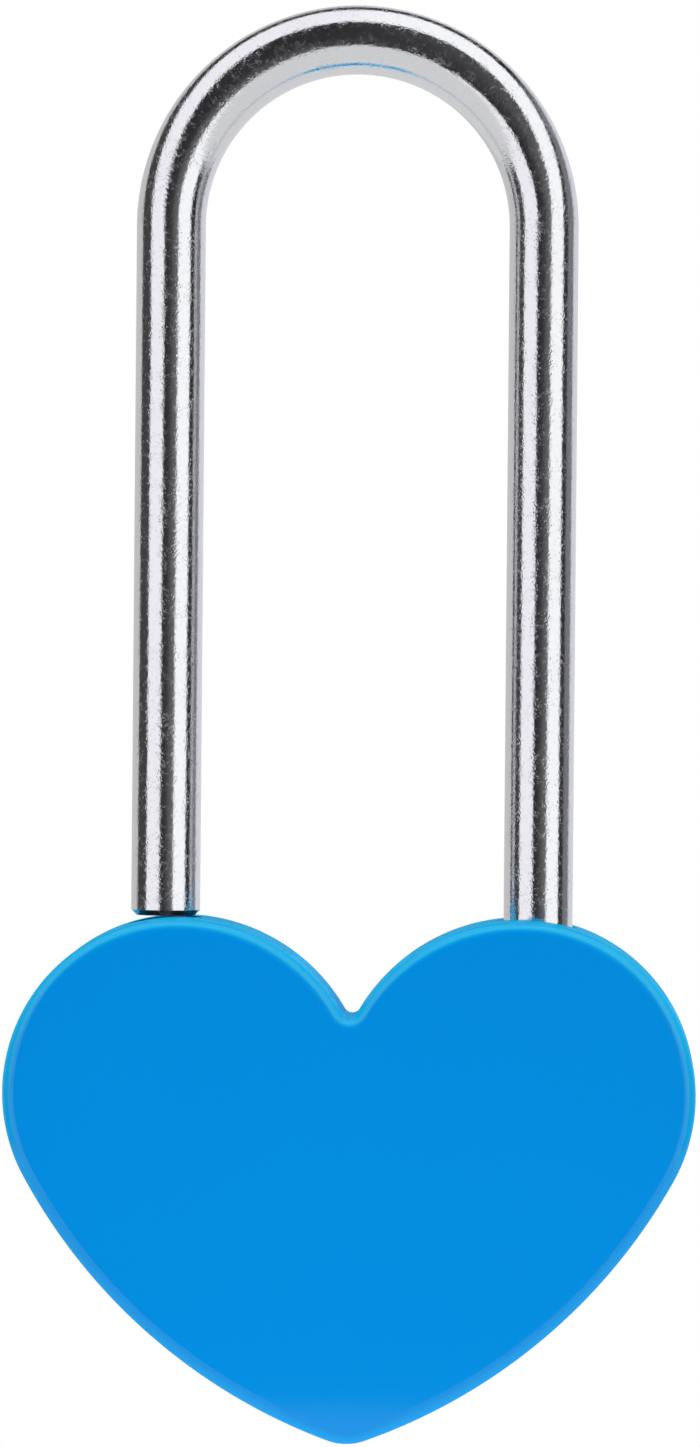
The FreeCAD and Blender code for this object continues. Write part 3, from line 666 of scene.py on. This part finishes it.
def wind_coil(name, cad_node, axis, wire, turns):
    """A coil spring along X (axis 0) or Z (axis 2), as long and as wide as its CAD node; also gives its foot."""
    low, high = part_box(cad_node)
    length = (high - low)[axis]
    across = 2 - axis
    radius = ((high - low)[across] - wire) / 2
    coil = start_piece(name, bpy.ops.mesh.primitive_circle_add, vertices=WIRE_SIDES, radius=wire / 2)
    bpy.ops.transform.rotate(value=math.pi / 2, orient_axis="X")
    centre = Vector((0, 0, 0))
    centre[axis] = wire / 2
    centre[across] = radius
    bpy.ops.transform.translate(value=centre)
    bpy.ops.object.mode_set(mode="OBJECT")
    apply_modifier(
        coil,
        "SCREW",
        axis="XYZ"[axis],
        angle=WHOLE_TURN,
        screw_offset=(length - wire) / turns,
        iterations=turns,
        steps=COIL_STEPS,
        render_steps=COIL_STEPS,
    )
    bpy.ops.object.mode_set(mode="EDIT")
    bpy.ops.mesh.select_all(action="SELECT")
    bpy.ops.mesh.fill_holes(sides=WIRE_SIDES)
    foot = (low + high) / 2
    foot[axis] = low[axis]
    bpy.ops.mesh.select_all(action="SELECT")
    bpy.ops.transform.translate(value=foot)
    close_mesh()
    smooth_by_area(coil)
    coil.data.materials.append(spring_steel)
    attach(coil, "case")
    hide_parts(cad_node)
    return coil, foot


heel_spring, foot = wind_coil("heel_spring", "shackle_spring", 2, HEEL_WIRE, HEEL_TURNS)
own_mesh(heel_spring)
for n in PIN_NUMBERS:
    pin_coil, foot = wind_coil("pin_coil_%d" % n, "pin_spring_%d" % n, 0, PIN_WIRE, PIN_TURNS)
    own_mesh(pin_coil)

# ---------------------------------------------------------------------------------------------------------------
# The stand: a small round pale board that the heart's tip touches, plain all over. It is a little dimmer in
# reflections than straight on, as a board lit from above is when seen from just over its edge.
# ---------------------------------------------------------------------------------------------------------------
BOARD_R = 0.035
# How much brighter the tent is for matt surfaces than its mirror image is
SOFT_GAIN = 1.87
BOARD_THICK = 2 * MM
BOARD_SIDES = 128
BOARD_MIRRORED = (0.73, 0.73, 0.74, 1)
WHITE = (1, 1, 1, 1)

stand = start_piece(
    "stand", bpy.ops.mesh.primitive_circle_add, vertices=BOARD_SIDES, radius=BOARD_R, fill_type="NGON"
)
extrude((0, 0, -BOARD_THICK))
close_mesh()
bpy.ops.object.select_all(action="DESELECT")
pale_board, board = new_finish("pale_board")
light_path = board.node("ShaderNodeLightPath")
seen = board.node("ShaderNodeEmission", {}, {"Color": WHITE, "Strength": 1.0})
lit = light_path["Is Diffuse Ray"] * (SOFT_GAIN - 1) + 1
mirrored = board.node("ShaderNodeEmission", {}, {"Color": BOARD_MIRRORED, "Strength": lit})
both = board.node("ShaderNodeMixShader", {}, {0: light_path["Is Camera Ray"], 1: mirrored[0], 2: seen[0]})
board.node("ShaderNodeOutputMaterial", {}, {"Surface": both[0]})
stand.data.materials.append(pale_board)

# ---------------------------------------------------------------------------------------------------------------
# The light: a dark gap lies round the camera, and round that a wide ring of white tent, which gives all bright
# reflections. Beyond the ring come dark card and then pale grey paper, with pale ground below. Nothing of it is
# seen straight on, where the background is plain white.
# ---------------------------------------------------------------------------------------------------------------
TENT_LEFT = (1.00, 0.99, 1.03, 1)
TENT_RIGHT = (1.10, 1.10, 1.12, 1)
GAP_DARK = (0.028, 0.028, 0.030, 1)
GAP_LIT = (0.15, 0.15, 0.155, 1)
CARD_LEFT = (0.055, 0.055, 0.055, 1)
CARD_RIGHT = (0.030, 0.030, 0.032, 1)
CARD_LIT = (0.20, 0.205, 0.215, 1)
PAPER_LEFT = (0.61, 0.61, 0.61, 1)
PAPER_RIGHT = (0.74, 0.73, 0.79, 1)
GROUND = (0.72, 0.72, 0.73, 1)
# Where each part begins, in degrees from straight in front: at the sides, what the right has more, and overhead
TENT_START = (22.5, 2.5, 61.0)
CARD_START = (68.0, 1.0, 118.0)
PAPER_START = (113.0, 5.0, 140.0)
BLUR = 1.5
# Bearings in degrees to the right of straight in front, over which left turns to right, and dark to lit
SIDE_CHANGE = (-20.0, 20.0)
GAP_CHANGE = (-12.0, 25.0)
CARD_CHANGE = (85.0, 93.0)
# How lit the gap is overhead, as a share of what it is at the sides
GAP_OVERHEAD = 0.3
# Heights in degrees over which the ground ends
GROUND_CHANGE = (-22.0, -17.0)
# For matt surfaces, light from overhead is this much stronger, and light from below this much weaker
OVERHEAD = 0.5
# Keeps a division by nothing away, straight in front and straight behind
NOT_ZERO = 1e-6
DEGREES = 180 / math.pi

surroundings = bpy.data.worlds.new("studio_tent")
bpy.context.scene.world = surroundings
surroundings.use_nodes = True
board = Board(surroundings.node_tree)
direction = board.node("ShaderNodeSeparateXYZ", {}, {0: board.node("ShaderNodeTexCoord")["Generated"]})
x, y, z = direction["X"], direction["Y"], direction["Z"]
off_axis = (x * x + z * z + NOT_ZERO) ** 0.5
to_right = x / off_axis
upwards = board.between(z / off_axis, 0.0, 1.0)
sideways = 1 - upwards
from_front = (y * -1.0).through("ARCCOSINE") * DEGREES
elevation = z.through("ARCSINE") * DEGREES
bearing = from_front * to_right
on_right = board.between(bearing, *SIDE_CHANGE)


def past(start):
    """1 in directions past the start of a part of the surroundings, and 0 in those nearer the front."""
    beside, more_on_right, overhead = start
    edge = (to_right * more_on_right + beside) * sideways + upwards * overhead
    return board.between(from_front - edge, -BLUR, BLUR)


gap_lit = board.between(bearing, *GAP_CHANGE) * (sideways * (1 - GAP_OVERHEAD) + GAP_OVERHEAD)
card = board.mix(board.between(bearing, *CARD_CHANGE), board.mix(on_right, CARD_LEFT, CARD_RIGHT), CARD_LIT)
colour = board.mix(gap_lit, GAP_DARK, GAP_LIT)
colour = board.mix(past(TENT_START), colour, board.mix(on_right, TENT_LEFT, TENT_RIGHT))
colour = board.mix(past(CARD_START), colour, card)
colour = board.mix(past(PAPER_START), colour, board.mix(on_right, PAPER_LEFT, PAPER_RIGHT))
colour = board.mix(1 - board.between(elevation, *GROUND_CHANGE), colour, GROUND)
light_path = board.node("ShaderNodeLightPath")
strength = light_path["Is Diffuse Ray"] * (z * OVERHEAD + (SOFT_GAIN - 1)) + 1
studio = board.node("ShaderNodeBackground", {}, {"Color": colour, "Strength": strength})
backdrop = board.node("ShaderNodeBackground", {}, {"Color": WHITE, "Strength": 1.0})
both = board.node("ShaderNodeMixShader", {}, {0: light_path["Is Camera Ray"], 1: studio[0], 2: backdrop[0]})
board.node("ShaderNodeOutputWorld", {}, {"Surface": both[0]})
bpy.context.scene.view_settings.view_transform = "Standard"

# ---------------------------------------------------------------------------------------------------------------
# The camera: most of a metre in front, very slightly to the right and above, and turned a little so that the
# lock leans clockwise.
# ---------------------------------------------------------------------------------------------------------------
DISTANCE = 0.7
VIEW_HEIGHT = 83.88 * MM
SENSOR = 36.0
CLIP_START = 0.01
AZIMUTH, ELEVATION, ROLL = (math.radians(angle) for angle in (1.2, 0.8, 0.5))
AIM = Vector((-0.20 * MM, 0.0, 41.50 * MM))

lens = bpy.data.cameras.new("studio_camera")
lens.sensor_width = SENSOR
lens.lens = SENSOR * DISTANCE / VIEW_HEIGHT
lens.clip_start = CLIP_START
camera = bpy.data.objects.new("studio_camera", lens)
bpy.context.scene.collection.objects.link(camera)
level = math.cos(ELEVATION)
outwards = Vector((math.sin(AZIMUTH) * level, -math.cos(AZIMUTH) * level, math.sin(ELEVATION)))
turn = outwards.to_track_quat("Z", "Y").to_matrix() @ Matrix.Rotation(ROLL, 3, "Z")
camera.matrix_world = Matrix.Translation(AIM + outwards * DISTANCE) @ turn.to_4x4()
bpy.context.scene.camera = camera
